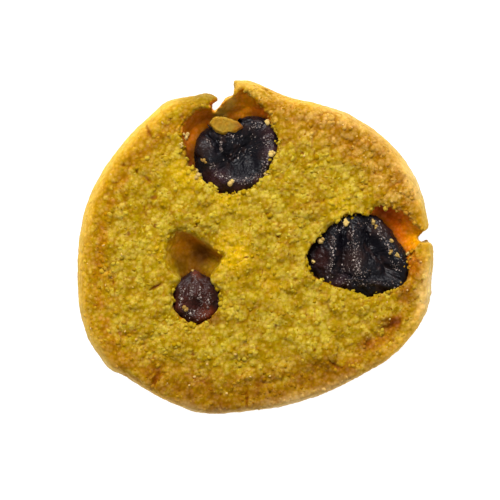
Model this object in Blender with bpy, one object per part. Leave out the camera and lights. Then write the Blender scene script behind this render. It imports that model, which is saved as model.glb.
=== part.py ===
"""A raisin biscuit, 48 mm across: one thick round of crumbly baked dough with a smooth rolled rim.

Three raisins sit in hollows of its top. The upper hollow has torn open through the rim as a V,
the right one as a small bite, and a press mark leads down to the smallest raisin.
Sizes are in millimetres. +X runs along the longest side, +Z up, and the origin is in the middle
of the flat underside.
"""

import math

import bmesh
import bpy
from mathutils import Matrix, Vector, noise

MM = 0.001

# The dough round: heights and widths of its section.
RIM_HEIGHT = 8.5  # crown of the rolled rim
CENTRE_RISE = 0.5  # how much higher the middle has risen
CENTRE_RISE_RUN = 16.0  # over this distance from the rim
BELLY_HEIGHT = 3.2  # level where the side stands out the furthest
TUCK = 1.1  # how far the side draws in below the belly
SHOULDER_MEAN = 1.9  # width of the rolled rim, seen from above
SHOULDER_SWING = 0.5  # wider by this at the upper left, narrower at the lower right
SHOULDER_WIDEST = 150.0  # degrees from +X

# The crumb on top.
CRUMB_SIZE = 2.9
CRUMB_HEIGHT = 0.6
CRUMB_UNEVENNESS = 0.4
CREVICE_WIDTH = 0.45  # as a share of a crumb's size
GRAIN_SIZE = 1.2
GRAIN_HEIGHT = 0.3
GRAIN_SCATTER = 0.55  # sideways, so that no row of the mesh shows
SWELL_SIZE = 9.0
SWELL_HEIGHT = 0.35
CRUMB_STARTS = 1.5  # distance inside the rolled rim where the crumb has its full height
GROOVE_DEPTH = 0.3  # the browned furrow just inside the rim
GROOVE_INSET = 1.4
GROOVE_WIDTH = 1.2
RIM_UNEVENNESS = 0.12
RIM_LUMP_SIZE = 2.2
CRUMB_EDGE = 36  # degrees, above which an edge of the dough is shaded sharp

# The mesh of the round: rings from the middle of the top, over the rim, to the underside.
CELLS = 52
TOP_SHARE = 0.68
SHOULDER_SHARE = 0.20

# The outline from above: direction in degrees from +X, and distance from the middle.
ROUND_OUTLINE = [
    (0, 23.9), (10, 23.5), (20, 23.6), (30, 23.3), (40, 22.8), (50, 22.2), (60, 21.5), (70, 20.9),
    (77, 20.7), (84, 21.3), (90, 22.2), (94, 22.6), (98, 22.3), (103, 20.9), (108, 21.6), (115, 22.4),
    (121, 23.0), (130, 22.8), (140, 22.8), (150, 23.0), (160, 23.4), (170, 23.7), (180, 24.0),
    (190, 24.5), (200, 25.3), (210, 25.9), (216, 25.8), (220, 25.9), (223, 25.1), (230, 24.5),
    (240, 24.0), (250, 23.8), (260, 22.8), (270, 22.1), (280, 21.8), (290, 21.7), (300, 22.0),
    (310, 22.4), (320, 23.4), (330, 24.2), (340, 24.6), (350, 24.1),
]  # fmt: skip

# Hollows: where the opening's edge runs on top, and the bowl below it.
UPPER_EDGE = [
    (3.0, 14.7), (2.2, 16.6), (1.4, 18.6), (0.2, 19.5), (-1.1, 21.0), (-2.2, 21.6), (-3.1, 20.5),
    (-4.4, 19.4), (-5.7, 19.0), (-7.4, 18.8), (-8.8, 18.4), (-9.7, 16.0), (-9.6, 13.6), (-8.9, 10.8),
    (-7.0, 8.8), (-5.8, 8.1), (-5.1, 7.2), (-2.0, 7.2), (0.0, 8.1), (1.6, 10.2), (2.0, 11.9), (2.8, 13.1),
]  # fmt: skip
RIGHT_EDGE = [
    (22.3, 1.2), (22.4, 2.4), (21.4, 3.4), (20.7, 4.9), (18.4, 5.3), (16.2, 6.1), (15.2, 4.2), (14.3, 4.0),
    (12.6, 4.4), (10.9, 3.2), (9.1, 1.9), (8.1, 0.7), (7.1, -0.9), (7.8, -2.3), (7.5, -3.6), (10.1, -5.1),
    (13.2, -6.1), (15.1, -6.6), (17.0, -6.2), (19.3, -5.7), (20.6, -4.7), (20.9, -3.0), (20.9, -0.9),
]  # fmt: skip
SMALL_EDGE = [
    (-4.4, -7.0), (-5.3, -5.1), (-6.9, -3.9), (-8.6, -3.2), (-10.6, -4.9), (-11.4, -6.6), (-11.0, -8.4),
    (-9.3, -10.2), (-7.9, -10.6), (-6.5, -10.1), (-5.0, -8.6),
]  # fmt: skip
PRESS_EDGE = [
    (-4.4, -1.2), (-5.7, -0.3), (-8.0, 1.2), (-9.2, 2.3), (-11.1, 2.1), (-11.9, 0.9), (-12.2, -1.6),
    (-11.4, -3.6), (-8.9, -5.0), (-6.4, -4.2), (-5.2, -2.6),
]  # fmt: skip
HOLLOWS = {
    # name: edge, middle of the opening, middle of the floor, floor level, and slope of the wall:
    # 1 is a round bowl, more is a funnel, less is a flatter floor with steeper walls
    "upper_hollow": (UPPER_EDGE, (-3.6, 13.2), (-3.0, 12.4), 3.0, 1.15),
    "right_hollow": (RIGHT_EDGE, (15.0, -0.8), (14.4, -1.2), 3.4, 1.3),
    "small_hollow": (SMALL_EDGE, (-7.9, -7.1), (-7.9, -7.1), 4.2, 0.7),
    "press_mark": (PRESS_EDGE, (-8.6, -1.4), (-7.4, -1.6), 5.2, 1.2),
}
HOLLOW_LUMPS = 0.25
HOLLOW_LUMP_SIZE = 1.6
ABOVE_TOP = 12.0  # level that every cutter reaches, clear of the crumb

# Breaks that run through the whole thickness, as outlines from above.
TORN_V = [
    (-5.3, 18.2), (-5.8, 19.1), (-5.5, 19.5), (-4.7, 20.3), (-4.9, 23.5), (-2.8, 23.5), (-2.9, 21.0),
    (-4.1, 20.0),
]  # fmt: skip
SIDE_BITE = [(24.6, 3.4), (22.3, 1.95), (21.7, 1.2), (22.2, 0.6), (23.0, 0.9), (24.6, 0.3)]
BREAK_FLARE = 0.12  # how much wider a break is on top than at the underside

# Cracks in the crumb: middle, length, width and direction in degrees.
CRACKS = [
    ((-13.4, -5.4), 2.4, 0.6, 28.0),
    ((-13.2, -17.5), 3.6, 0.8, 64.0),
    ((-1.1, -20.4), 2.1, 0.5, 90.0),
    ((10.6, -15.8), 1.6, 0.5, -36.0),
    ((18.5, -10.8), 3.2, 0.9, 41.0),
    ((20.0, -7.2), 3.4, 0.8, -60.0),
    ((-14.4, 9.1), 1.7, 0.5, -45.0),
    ((-14.2, 15.4), 2.0, 0.5, -64.0),
]
CRACK_DEPTH = 1.1
CRACK_LEVEL = 8.7  # of a crack's middle, just above the crumb

# Raisins: outline from above about a middle, underside and top levels, and the folds of the skin.
# A fold is a ridge, or where its height is negative a furrow: two ends, width and height.
RAISINS = {
    "raisin_upper": (
        [(-8.2, 11.1), (-8.1, 13.1), (-7.4, 14.8), (-6.3, 15.8), (-4.4, 16.4), (-2.3, 16.9), (-1.0, 17.3),
         (1.3, 17.1), (2.6, 15.9), (3.2, 14.0), (2.8, 12.0), (2.1, 10.0), (0.9, 8.6), (-1.5, 7.0),
         (-3.6, 6.6), (-5.3, 6.9), (-6.8, 8.2), (-7.9, 9.6)],
        (-2.7, 12.0), 2.3, 8.4,
        [((-7.3, 13.6), (-5.8, 11.9), 0.9, 1.0), ((-5.0, 14.9), (-4.5, 12.9), 0.6, 0.8),
         ((-6.0, 14.6), (-5.1, 12.5), 0.4, -0.5), ((-5.9, 11.2), (-4.9, 9.3), 0.9, 0.8),
         ((-4.4, 8.9), (-0.9, 8.7), 1.0, 0.9), ((0.1, 9.4), (1.8, 12.2), 0.9, 0.9),
         ((1.8, 12.6), (1.4, 15.0), 0.8, 0.8), ((0.9, 16.1), (-1.3, 16.0), 0.7, 0.8),
         ((-2.9, 11.3), (-0.5, 13.4), 1.8, -1.5)],
    ),
    "raisin_right": (
        [(20.5, -2.9), (20.1, -1.0), (18.9, 0.6), (17.8, 2.2), (16.4, 3.7), (14.4, 4.6), (12.4, 4.6),
         (10.5, 3.6), (8.9, 2.2), (7.4, 0.6), (6.5, -1.3), (6.9, -3.4), (8.4, -4.7), (11.4, -5.8),
         (13.3, -6.5), (15.2, -6.9), (17.0, -6.4), (18.9, -5.8), (20.2, -4.7)],
        (13.7, -1.1), 2.2, 8.6,
        [((10.6, 2.2), (10.0, -3.9), 0.6, 1.0), ((11.8, 2.1), (11.7, -3.0), 0.7, -0.7),
         ((12.9, 2.4), (14.0, -3.6), 0.8, 0.9), ((14.9, 2.6), (15.2, 0.4), 0.8, -1.1),
         ((15.6, -0.4), (17.9, -3.0), 0.8, -1.2), ((16.5, 2.0), (19.2, -1.8), 0.6, 0.7),
         ((17.9, -2.0), (19.4, -3.4), 0.5, 0.6), ((10.3, -4.6), (18.9, -4.9), 0.4, 0.6),
         ((10.6, -4.0), (18.2, -4.2), 0.3, -0.5)],
    ),
    "raisin_small": (
        [(-4.5, -7.1), (-5.4, -5.4), (-6.3, -4.5), (-7.5, -3.9), (-8.3, -3.3), (-9.0, -4.0), (-9.9, -4.5),
         (-10.7, -5.4), (-11.2, -6.7), (-11.0, -8.1), (-10.2, -9.2), (-9.2, -10.0), (-8.0, -10.4),
         (-6.8, -10.0), (-5.7, -9.1), (-5.0, -8.2)],
        (-7.9, -7.1), 3.9, 8.3,
        [((-7.8, -7.8), (-7.8, -8.2), 0.7, -0.9), ((-9.7, -6.0), (-9.9, -8.2), 0.6, 0.5),
         ((-8.3, -5.4), (-8.2, -6.4), 0.4, 0.5), ((-6.5, -6.0), (-6.7, -7.6), 0.5, 0.5),
         ((-7.3, -9.2), (-6.2, -8.6), 0.4, 0.5)],
    ),
}  # fmt: skip
RAISIN_FACETS = 4  # times that an icosahedron is divided
RAISIN_FULLNESS = 2.5  # 2 is an ellipsoid, more is boxier
WRINKLE_SIZE = 1.5
WRINKLE_HEIGHT = 0.22
SEAT_GAP = 0.5  # room between a raisin and the dough
SKIN_EDGE = 75  # degrees, above which an edge of the raisin's skin is shaded sharp

# A thin chip of dough that has stuck to the upper raisin.
CHIP_MIDDLE = (-3.9, 16.4, 7.7)
CHIP_HALF_SIZE = (2.4, 1.05, 0.8)
CHIP_TURN = -9.0
CHIP_LUMPS = 0.3

DOUGH_COLOUR = (0.46, 0.30, 0.045, 1.0)
RAISIN_COLOUR = (0.022, 0.012, 0.013, 1.0)


def smoothstep(value):
    value = min(1.0, max(0.0, value))
    return value * value * (3 - 2 * value)


def closed_curve(points):
    """The distance at any angle of a smooth closed curve through (radians, distance) points."""
    points = sorted(points)
    angles = [angle for angle, _ in points]
    values = [value for _, value in points]
    count = len(points)
    turn = 2 * math.pi

    def at(index):
        lap, place = divmod(index, count)
        return angles[place] + lap * turn, values[place]

    def slope(index):
        before, after = at(index - 1), at(index + 1)
        return (after[1] - before[1]) / (after[0] - before[0])

    def distance(angle):
        angle = (angle - angles[0]) % turn + angles[0]
        index = sum(1 for other in angles if other <= angle) - 1
        (start, low), (end, high) = at(index), at(index + 1)
        span = end - start
        t = (angle - start) / span
        return (
            low * (1 + 2 * t) * (1 - t) ** 2
            + high * (3 - 2 * t) * t**2
            + span * slope(index) * t * (1 - t) ** 2
            - span * slope(index + 1) * t**2 * (1 - t)
        )

    return distance


def outline_about(middle, points):
    """A closed curve through points on the plan, as distances from its middle."""
    steps = [(x - middle[0], y - middle[1]) for x, y in points]
    return closed_curve([(math.atan2(y, x) % (2 * math.pi), math.hypot(x, y)) for x, y in steps])


def shade(mesh, sharpest):
    mesh.shade_smooth()
    mesh.set_sharp_from_angle(angle=math.radians(sharpest))


def finish_mesh(shape, name, collection, material, sharpest=CRUMB_EDGE):
    """Turns a bmesh in millimetres into an object in metres, shaded smooth up to an angle."""
    bmesh.ops.scale(shape, vec=Vector((MM, MM, MM)), verts=shape.verts)
    bmesh.ops.recalc_face_normals(shape, faces=shape.faces)
    mesh = bpy.data.meshes.new(name)
    shape.to_mesh(mesh)
    shape.free()
    mesh.materials.append(material)
    shade(mesh, sharpest)
    piece = bpy.data.objects.new(name, mesh)
    collection.objects.link(piece)
    return piece


def make_cutter(piece):
    piece.hide_render = True
    piece.display_type = "WIRE"
    return piece


def boolean(piece, others, operation, sharpest=CRUMB_EDGE):
    """Joins or cuts a piece with a collection's objects, applies it and removes them."""
    modifier = piece.modifiers.new(operation.title(), "BOOLEAN")
    modifier.operation = operation
    modifier.operand_type = "COLLECTION"
    modifier.collection = others
    modifier.solver = "EXACT"
    modifier.use_self = operation == "DIFFERENCE"
    graph = bpy.context.evaluated_depsgraph_get()
    result = bpy.data.meshes.new_from_object(piece.evaluated_get(graph))
    piece.modifiers.clear()
    piece.data = result
    shade(result, sharpest)
    for other in list(others.objects):
        bpy.data.objects.remove(other)


def finish_material(name, colour, roughness):
    material = bpy.data.materials.new(name)
    material.use_nodes = True
    shader = material.node_tree.nodes["Principled BSDF"]
    shader.inputs["Base Color"].default_value = colour
    shader.inputs["Roughness"].default_value = roughness
    shader.inputs["Metallic"].default_value = 0.0
    material.diffuse_color = colour
    return material


def shoulder_width(angle):
    return SHOULDER_MEAN + SHOULDER_SWING * math.cos(angle - math.radians(SHOULDER_WIDEST))


def crumb_relief(x, y, inset):
    """Height of the crumb above the rim's crown, at a distance inside the rolled rim."""
    place = Vector((x, y, 0.0))
    distances, centres = noise.voronoi(place / CRUMB_SIZE)
    crumb = CRUMB_HEIGHT * (smoothstep((distances[1] - distances[0]) / CREVICE_WIDTH) - 0.5)
    crumb += CRUMB_UNEVENNESS * noise.noise(centres[0] * 3.1)
    grain = GRAIN_HEIGHT * noise.noise(place / GRAIN_SIZE + Vector((7.0, 3.0, 0.0)))
    swell = SWELL_HEIGHT * noise.noise(place / SWELL_SIZE)
    groove = -GROOVE_DEPTH * math.exp(-(((inset - GROOVE_INSET) / GROOVE_WIDTH) ** 2))
    rise = CENTRE_RISE * smoothstep(inset / CENTRE_RISE_RUN)
    return (crumb + grain + swell) * smoothstep(inset / CRUMB_STARTS) + groove + rise


def dough_round(collection, material):
    """The round without its hollows: a grid bent over the rim, on one flat face."""
    reach = closed_curve([(math.radians(angle), distance) for angle, distance in ROUND_OUTLINE])
    shape = bmesh.new()
    bmesh.ops.create_grid(shape, x_segments=CELLS, y_segments=CELLS, size=1.0)
    quarter = math.pi / 4
    for vertex in shape.verts:
        u, v = vertex.co.x, vertex.co.y
        share = max(abs(u), abs(v))
        if share < 1e-6:
            angle = 0.0
        elif abs(u) >= abs(v):
            angle = quarter * v / u + (math.pi if u < 0 else 0.0)
        else:
            angle = 2 * quarter - quarter * u / v + (math.pi if v < 0 else 0.0)
        outer, shoulder = reach(angle), shoulder_width(angle)
        direction = Vector((math.cos(angle), math.sin(angle), 0.0))
        if share <= TOP_SHARE:
            radius = (outer - shoulder) * share / TOP_SHARE
            inset = outer - shoulder - radius
            height = RIM_HEIGHT + crumb_relief(direction.x * radius, direction.y * radius, inset)
        elif share <= TOP_SHARE + SHOULDER_SHARE:
            turn = (share - TOP_SHARE) / SHOULDER_SHARE * math.pi / 2
            radius = outer - shoulder * (1 - math.sin(turn))
            height = BELLY_HEIGHT + (RIM_HEIGHT - BELLY_HEIGHT) * math.cos(turn)
            height -= GROOVE_DEPTH * math.exp(-((GROOVE_INSET / GROOVE_WIDTH) ** 2)) * math.cos(turn)
        else:
            turn = (share - TOP_SHARE - SHOULDER_SHARE) / (1 - TOP_SHARE - SHOULDER_SHARE) * math.pi / 2
            radius = outer - TUCK * (1 - math.cos(turn))
            height = BELLY_HEIGHT * (1 - math.sin(turn))
        place = direction * radius + Vector((0.0, 0.0, height))
        if TOP_SHARE < share < 1:
            place += direction * RIM_UNEVENNESS * noise.noise(place / RIM_LUMP_SIZE)
        elif share < TOP_SHARE - 2 / CELLS:
            scatter = GRAIN_SCATTER * noise.noise_vector(place / GRAIN_SIZE * 6)
            place += Vector((scatter.x, scatter.y, 0.0))
        vertex.co = place
    edge = [side for side in shape.edges if side.is_boundary]
    for vertex in {vertex for side in edge for vertex in side.verts}:
        vertex.co.z = 0.0
    bmesh.ops.contextual_create(shape, geom=edge)
    bmesh.ops.triangulate(shape, faces=[face for face in shape.faces if len(face.verts) == 4])
    return finish_mesh(shape, "biscuit", collection, material)


def hollow(name, edge, middle, floor_middle, floor, slope, collection, material):
    """A bowl that narrows to its floor, and goes straight up from its edge on the top."""
    reach = outline_about(middle, edge)
    shape = bmesh.new()
    bmesh.ops.create_uvsphere(shape, u_segments=32, v_segments=12, radius=1.0)
    for vertex in shape.verts:
        angle = math.atan2(vertex.co.y, vertex.co.x)
        climb = math.acos(max(-1.0, min(1.0, -vertex.co.z))) / math.pi
        turn = min(1.0, climb * 2) * math.pi / 2
        rise = 1 - math.cos(turn)
        spread = math.sin(turn) ** slope
        height = floor + (RIM_HEIGHT - floor) * rise
        if climb > 0.5:
            height = RIM_HEIGHT + (ABOVE_TOP - RIM_HEIGHT) * min(1.0, climb * 4 - 2)
            spread = min(1.0, (1 - climb) * 4)
        spine = Vector(floor_middle).lerp(Vector(middle), rise)
        radius = reach(angle) * spread
        place = Vector((spine.x + radius * math.cos(angle), spine.y + radius * math.sin(angle), height))
        lump = HOLLOW_LUMPS * noise.noise(place / HOLLOW_LUMP_SIZE) * min(1.0, spread * 2)
        place += Vector((math.cos(angle), math.sin(angle), 0.0)) * lump
        vertex.co = place
    return make_cutter(finish_mesh(shape, name, collection, material))


def through_break(name, outline, collection, material):
    """A prism through the whole thickness, a little wider on top."""
    shape = bmesh.new()
    corners = [shape.verts.new((x, y, -1.0)) for x, y in outline]
    face = shape.faces.new(corners)
    raised = bmesh.ops.extrude_face_region(shape, geom=[face])["geom"]
    upper = [item for item in raised if isinstance(item, bmesh.types.BMVert)]
    bmesh.ops.translate(shape, vec=(0.0, 0.0, ABOVE_TOP + 1.0), verts=upper)
    inner = Vector((outline[0][0], outline[0][1], 0.0))
    grown = 1 + BREAK_FLARE
    bmesh.ops.scale(shape, vec=(grown, grown, 1.0), space=Matrix.Translation(-inner), verts=upper)
    return make_cutter(finish_mesh(shape, name, collection, material))


def crack(name, middle, length, width, degrees, collection, material):
    """A spindle-shaped split that dies out at both ends."""
    shape = bmesh.new()
    bmesh.ops.create_icosphere(shape, subdivisions=2, radius=0.5)
    size = Vector((length, width, CRACK_DEPTH * 2))
    bmesh.ops.scale(shape, vec=size, verts=shape.verts)
    bmesh.ops.rotate(shape, matrix=Matrix.Rotation(math.radians(degrees), 3, "Z"), verts=shape.verts)
    bmesh.ops.translate(shape, vec=(*middle, CRACK_LEVEL), verts=shape.verts)
    return make_cutter(finish_mesh(shape, name, collection, material))


def fold_height(x, y, folds):
    """Height that the ridges and furrows of the skin add at a point of the plan."""
    total = 0.0
    for start, end, width, height in folds:
        along = Vector(end) - Vector(start)
        step = Vector((x, y)) - Vector(start)
        share = min(1.0, max(0.0, step.dot(along) / along.length_squared))
        distance = (step - along * share).length
        total += height * math.exp(-((distance / width) ** 2))
    return total


def raisin_shape(outline, middle, bottom, top, folds, facets, grow=0.0):
    """A full, boxy ellipsoid over the raisin's outline. With grow it is the seat it lies in."""
    reach = outline_about(middle, outline)
    half = (top - bottom) / 2
    shape = bmesh.new()
    bmesh.ops.create_icosphere(shape, subdivisions=facets, radius=1.0)
    for vertex in shape.verts:
        point = vertex.co.normalized()
        flat = math.hypot(point.x, point.y)
        full = (flat**RAISIN_FULLNESS + abs(point.z) ** RAISIN_FULLNESS) ** (-1 / RAISIN_FULLNESS)
        angle = math.atan2(point.y, point.x)
        radius = (reach(angle) + grow) * flat * full
        place = Vector((middle[0] + radius * math.cos(angle), middle[1] + radius * math.sin(angle), 0.0))
        place.z = bottom + half + (half + grow) * point.z * full
        fold = fold_height(place.x, place.y, folds) * smoothstep(point.z * 2)
        place.z += max(0.0, fold) if grow else fold
        if not grow:
            crease = 0.5 - abs(noise.noise(place / WRINKLE_SIZE)) * 2
            place += point * WRINKLE_HEIGHT * crease * smoothstep(point.z + 1)
        vertex.co = place
    return shape


def dough_chip(collection, material):
    shape = bmesh.new()
    bmesh.ops.create_icosphere(shape, subdivisions=3, radius=1.0)
    for vertex in shape.verts:
        vertex.co *= 1 + CHIP_LUMPS * noise.noise(vertex.co * 1.7)
    bmesh.ops.scale(shape, vec=Vector(CHIP_HALF_SIZE), verts=shape.verts)
    bmesh.ops.rotate(shape, matrix=Matrix.Rotation(math.radians(CHIP_TURN), 3, "Z"), verts=shape.verts)
    bmesh.ops.translate(shape, vec=Vector(CHIP_MIDDLE), verts=shape.verts)
    return finish_mesh(shape, "dough_chip", collection, material)


def stand_on_origin(pieces):
    """Moves the whole so that the middle of its box's underside is the origin."""
    corners = [piece.matrix_world @ vertex.co for piece in pieces for vertex in piece.data.vertices]
    lowest = Vector([min(corner[axis] for corner in corners) for axis in range(3)])
    highest = Vector([max(corner[axis] for corner in corners) for axis in range(3)])
    middle = (lowest + highest) / 2
    for piece in pieces:
        piece.data.transform(Matrix.Translation((-middle.x, -middle.y, -lowest.z)))


for old in list(bpy.data.objects):
    bpy.data.objects.remove(old)

biscuit_parts = bpy.data.collections.new("raisin_biscuit")
hollows = bpy.data.collections.new("hollow_cutters")
chips = bpy.data.collections.new("stuck_chips")
for group in (biscuit_parts, hollows, chips):
    bpy.context.scene.collection.children.link(group)

dough = finish_material("baked_dough", DOUGH_COLOUR, 0.8)
skin = finish_material("raisin_skin", RAISIN_COLOUR, 0.4)

biscuit = dough_round(biscuit_parts, dough)
for hollow_name, (edge, middle, floor_middle, floor, slope) in HOLLOWS.items():
    hollow(hollow_name, edge, middle, floor_middle, floor, slope, hollows, dough)
through_break("torn_v", TORN_V, hollows, dough)
through_break("side_bite", SIDE_BITE, hollows, dough)
for number, (place, length, width, degrees) in enumerate(CRACKS):
    crack(f"crack_{number}", place, length, width, degrees, hollows, dough)

raisins = []
for raisin_name, (outline, middle, bottom, top, folds) in RAISINS.items():
    body = raisin_shape(outline, middle, bottom, top, folds, RAISIN_FACETS)
    raisins.append(finish_mesh(body, raisin_name, biscuit_parts, skin, SKIN_EDGE))
    seat = raisin_shape(outline, middle, bottom, top, folds, RAISIN_FACETS - 1, SEAT_GAP)
    make_cutter(finish_mesh(seat, f"{raisin_name}_seat", hollows, dough))

boolean(biscuit, hollows, "DIFFERENCE")
dough_chip(chips, dough)
boolean(raisins[0], chips, "UNION", SKIN_EDGE)
stand_on_origin([biscuit, *raisins])
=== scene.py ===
"""The looks of a raisin biscuit, 48 mm across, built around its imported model.

From the bottom up: the table and light, the baked dough round, the crumbs and sugar that stand out
of it, the three raisins, and the bits of dough that stuck to them.
Sizes are in millimetres and are scaled by MM where they reach Blender.
"""

import math
from itertools import product

import bmesh
import bpy
import numpy as np
from mathutils import Euler, Matrix, Vector, kdtree, noise
from mathutils.bvhtree import BVHTree


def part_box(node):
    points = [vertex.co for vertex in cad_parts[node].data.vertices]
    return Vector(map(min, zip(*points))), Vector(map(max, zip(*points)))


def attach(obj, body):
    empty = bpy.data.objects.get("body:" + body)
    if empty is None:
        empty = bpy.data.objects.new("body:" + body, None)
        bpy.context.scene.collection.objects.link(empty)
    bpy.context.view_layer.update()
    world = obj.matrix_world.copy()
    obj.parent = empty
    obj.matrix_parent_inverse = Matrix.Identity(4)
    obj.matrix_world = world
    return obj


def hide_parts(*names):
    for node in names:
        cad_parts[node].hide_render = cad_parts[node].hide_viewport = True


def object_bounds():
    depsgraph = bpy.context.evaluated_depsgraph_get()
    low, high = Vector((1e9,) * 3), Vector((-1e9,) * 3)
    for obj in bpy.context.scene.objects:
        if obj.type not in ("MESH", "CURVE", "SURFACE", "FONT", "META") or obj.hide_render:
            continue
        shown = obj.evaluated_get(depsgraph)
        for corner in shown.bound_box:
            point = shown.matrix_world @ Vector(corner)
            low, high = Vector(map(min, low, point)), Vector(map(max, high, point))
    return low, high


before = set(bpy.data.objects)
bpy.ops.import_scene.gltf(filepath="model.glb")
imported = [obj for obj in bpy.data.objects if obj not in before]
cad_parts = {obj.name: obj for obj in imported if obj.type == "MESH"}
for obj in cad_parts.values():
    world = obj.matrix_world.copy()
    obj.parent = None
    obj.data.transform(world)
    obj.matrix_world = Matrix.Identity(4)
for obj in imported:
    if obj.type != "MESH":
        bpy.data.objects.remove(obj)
cad_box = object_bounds()

MM = 0.001


# ---- table and light
# A flat white sheet of paper, lit from the far side with a small lamp for the glints and a weaker light
# all round, darker overhead, where the camera looks straight down.

TABLE_SIZE = 4000
TABLE_CLEARANCE = 0.03  # below the biscuit, so that the two faces don't flicker together
PAPER_GREY = 0.25
PAPER_ROUGHNESS = 0.9
PAPER_SHINE = 0.1
PAPER_GLOW = 0.97
LAMP_DISTANCE = 900
# Each lamp's direction from the biscuit, its width and its power.
LAMPS = {"key": ((-0.22, 1.0, 1.05), 380, 9.0), "glint": ((0.5, 0.75, 1.5), 60, 0.9)}
ROOM_LIGHT = 0.6
CEILING_LIGHT = 0.15
CEILING_EDGE = (0.6, 0.9)  # heights on the unit sphere between which the room darkens to the ceiling
CAMERA_AIM = (-0.674, -0.404, 5.0)
CAMERA_HEIGHT = 495
VIEW_WIDTH = 67.415
SENSOR = 36
NEAREST_SEEN = 0.01  # metres, as is the next
FARTHEST_SEEN = 20


def wire(node, inputs):
    """Sets each input of a node to a value, or links it to the output that feeds it."""
    for socket, source in inputs.items():
        if isinstance(source, bpy.types.NodeSocket):
            node.id_data.links.new(source, node.inputs[socket])
        else:
            node.inputs[socket].default_value = source


def add_node(tree, kind, inputs=None):
    """Adds a shader node of a kind and wires its inputs."""
    node = tree.nodes.new("ShaderNode" + kind)
    wire(node, inputs or {})
    return node


def ranged(tree, source, before, after):
    """Brings what lies between two bounds to between two others."""
    bounds = {"From Min": before[0], "From Max": before[1], "To Min": after[0], "To Max": after[1]}
    return add_node(tree, "MapRange", {"Value": source, **bounds}).outputs["Result"]


def new_material(name, inputs):
    """A material, its nodes and its shader, with values set on the shader."""
    material = bpy.data.materials.new(name)
    material.use_nodes = True
    shader = material.node_tree.nodes["Principled BSDF"]
    wire(shader, inputs)
    return material, material.node_tree, shader


def finish_mesh(bm, name):
    """The mesh of a finished bmesh."""
    mesh = bpy.data.meshes.new(name)
    bm.to_mesh(mesh)
    bm.free()
    return mesh


def add_object(name, data):
    """Puts a mesh, lamp or camera into the scene."""
    made = bpy.data.objects.new(name, data)
    bpy.context.scene.collection.objects.link(made)
    return made


table_bm = bmesh.new()
bmesh.ops.create_grid(table_bm, x_segments=1, y_segments=1, size=TABLE_SIZE / 2 * MM)
bmesh.ops.translate(table_bm, vec=(0, 0, -TABLE_CLEARANCE * MM), verts=table_bm.verts)
table_mesh = finish_mesh(table_bm, "table")
table = add_object("table", table_mesh)

paper_look = {
    "Base Color": (PAPER_GREY, PAPER_GREY, PAPER_GREY, 1),
    "Roughness": PAPER_ROUGHNESS,
    "Specular IOR Level": PAPER_SHINE,
    "Emission Color": (1, 1, 1, 1),
    "Emission Strength": PAPER_GLOW,
}
paper, _, _ = new_material("white_paper", paper_look)
table_mesh.materials.append(paper)

for name, (direction, size, power) in LAMPS.items():
    light = bpy.data.lights.new(name, "AREA")
    light.shape = "DISK"
    light.size = size * MM
    light.energy = power
    lamp = add_object(name, light)
    lamp.location = Vector(direction).normalized() * LAMP_DISTANCE * MM
    lamp.rotation_euler = Vector(direction).to_track_quat("Z", "Y").to_euler()

room = bpy.data.worlds.new("room")
bpy.context.scene.world = room
room.use_nodes = True
sky = add_node(room.node_tree, "TexCoord").outputs["Generated"]
height = add_node(room.node_tree, "SeparateXYZ", {"Vector": sky}).outputs["Z"]
ceiling = ranged(room.node_tree, height, CEILING_EDGE, (ROOM_LIGHT, CEILING_LIGHT))
wire(room.node_tree.nodes["Background"], {"Color": (1, 1, 1, 1), "Strength": ceiling})

camera_data = bpy.data.cameras.new("camera")
camera_data.sensor_width = SENSOR
camera_data.lens = SENSOR * CAMERA_HEIGHT / VIEW_WIDTH
camera_data.clip_start = NEAREST_SEEN
camera_data.clip_end = FARTHEST_SEEN
camera = add_object("camera", camera_data)
camera.location = (Vector(CAMERA_AIM) + Vector((0, 0, CAMERA_HEIGHT))) * MM
bpy.context.scene.camera = camera
bpy.context.scene.view_settings.view_transform = "Standard"


# ---- the dough round
# A thick round of butter dough, filled with raisins and baked: a smooth golden skin where it rolled
# over at the rim, a coarse yellow crumb inside, and orange-brown walls where the raisins steamed.
# The colours also carry painted shade in the creases, pits, cracks, hollows and raisin seats, and painted
# light on the lit crumb and walls.

VOXEL = 0.4
SOFTENINGS = 6
TORN_PLACES = [((-4.4, 20.2), 4.0), ((22.4, 1.4), 2.4)]  # middle and reach of what stays crisp
TORN_CRISPNESS = 0.85
LOOKS_UP = 0.05  # upward part of a face's normal, from which the face counts as seen
TOP_FROM = 7.8  # all that is higher is seen
UNSEEN_BELOW = 6.0  # what a raisin covers below this isn't
CLUMP_SIZE = 2.1
CLUMP_HEIGHT = 0.08
PEBBLE_SIZE = 1.0
PEBBLE_HEIGHT = 0.07
CREVICE_DEPTH = 0.07
UNEVENNESS = 0.04
GRAIN_SPACING = 0.7
GRAIN_RADIUS = (0.3, 0.56)
GRAIN_HEIGHT = 0.09
PIT_SPACING = 1.9
PIT_SHARE = 0.25
PIT_RADIUS = (0.12, 0.26)
PIT_DEPTH = 0.22
LIP_RAGGEDNESS = 0.5
HUG = (0.75, 1.35)  # the dough clings to a raisin nearer than the first, not beyond the second
PRESSED = ((-8.4, -2.0), 5.6)  # middle and reach of the thumb-soft place above the small raisin
OVERHANG_STEP = 0.1
OVERHANG_STEPS = 16
# How far off a raisin's outline the dough ends; below 0, it laps over the raisin.
BARE_EDGE = {"raisin_upper": -0.3, "raisin_right": -0.25, "raisin_small": 0.1}
SEAT_SOFTENINGS = 8
PRESSED_LIP = ((-7.6, 0.2), 7.0)
PRESS_SOFTENINGS = 36
EDGE_FULLNESS = 0.55
EDGE_FROM = 5.5  # the height from which the near side's edge is made fuller
# The sides of the biscuit: the angle that each faces and how far it spreads, in degrees.
NEAR_SIDE = (268, 42)
NEAR_EDGE = (283, 62)
FAR_RIGHT = (50, 45)
GRAINY_SIDE = (320, 40)
UP = Vector((0, 0, 1))
RIM_HEIGHT = 8.5
CROWN = 0.5  # how much higher the middle of the top is
CROWN_REACH = 16
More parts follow.
